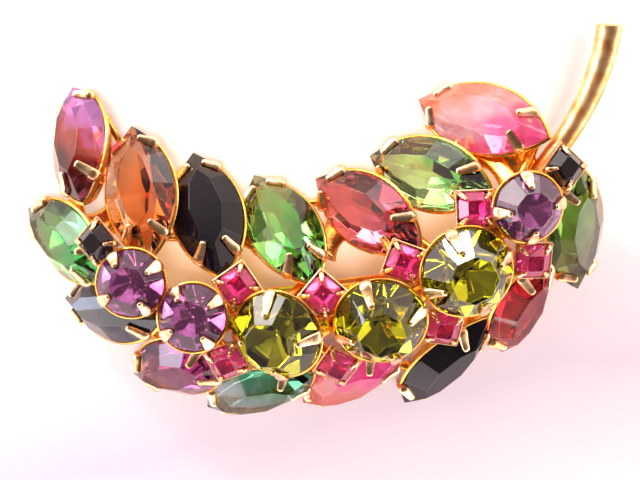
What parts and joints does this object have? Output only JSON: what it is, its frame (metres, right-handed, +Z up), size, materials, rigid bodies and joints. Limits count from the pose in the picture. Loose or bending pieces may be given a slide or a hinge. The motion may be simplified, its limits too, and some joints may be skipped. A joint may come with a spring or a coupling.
{
  "type": "leaf brooch",
  "caption": "Costume brooch shaped as a leaf, with claw-set navette and round faceted glass stones on a soldered gold-plated frame with a curved stem and a pin at the back.",
  "frame": {"origin": "under the middle of the brooch, on the surface that it lies on", "axes": "+Z up, out of the brooch's face, +Y along the leaf towards the end of its stem, +X to the wearer's left as the picture shows it"},
  "size_m": [0.0772, 0.0526, 0.0188],
  "materials": {
    "gold_plate": "polished gold-plated brass",
    "gold_pin": "plain gold-plated brass strip and pin",
    "glass_red_violet": "faceted glass, red-orange and violet",
    "glass_topaz": "faceted glass, orange-brown",
    "glass_navy": "faceted glass, near-black navy",
    "glass_green": "faceted glass, light green",
    "glass_rose": "faceted glass, coral rose",
    "glass_pink": "faceted glass, hot pink",
    "glass_smoke": "faceted glass, smoke gray",
    "glass_purple": "faceted glass, purple",
    "glass_bottle": "faceted glass, dark gray-green",
    "glass_ruby": "faceted glass, dark red",
    "glass_amethyst": "faceted glass with a foiled back, violet",
    "glass_olivine": "faceted glass with a foiled back, yellow-green",
    "glass_fuchsia": "faceted glass with a foiled back, fuchsia",
    "glass_garnet": "faceted glass, dark plum"
  },
  "bodies": {
    "root": {"navette_01": "glass_red_violet", "navette_02": "glass_topaz", "navette_03": "glass_navy", "navette_04": "glass_green", "navette_05": "glass_rose", "navette_06": "glass_green", "navette_07": "glass_pink", "navette_08": "glass_green", "navette_09": "glass_green", "navette_10": "glass_smoke", "navette_11": "glass_purple", "navette_12": "glass_bottle", "navette_13": "glass_pink", "navette_14": "glass_navy", "navette_15": "glass_ruby", "chaton_01": "glass_amethyst", "chaton_02": "glass_amethyst", "chaton_03": "glass_olivine", "chaton_04": "glass_olivine", "chaton_05": "glass_olivine", "chaton_06": "glass_amethyst", "small_chaton_01": "glass_fuchsia", "small_chaton_02": "glass_fuchsia", "small_chaton_03": "glass_fuchsia", "small_chaton_04": "glass_fuchsia", "small_chaton_05": "glass_fuchsia", "small_chaton_06": "glass_fuchsia", "small_chaton_07": "glass_fuchsia", "small_chaton_08": "glass_fuchsia", "small_chaton_09": "glass_garnet", "small_chaton_10": "glass_garnet", "setting_frame": "gold_plate", "pin_clasp": "gold_pin"}
  },
  "joints": []
}
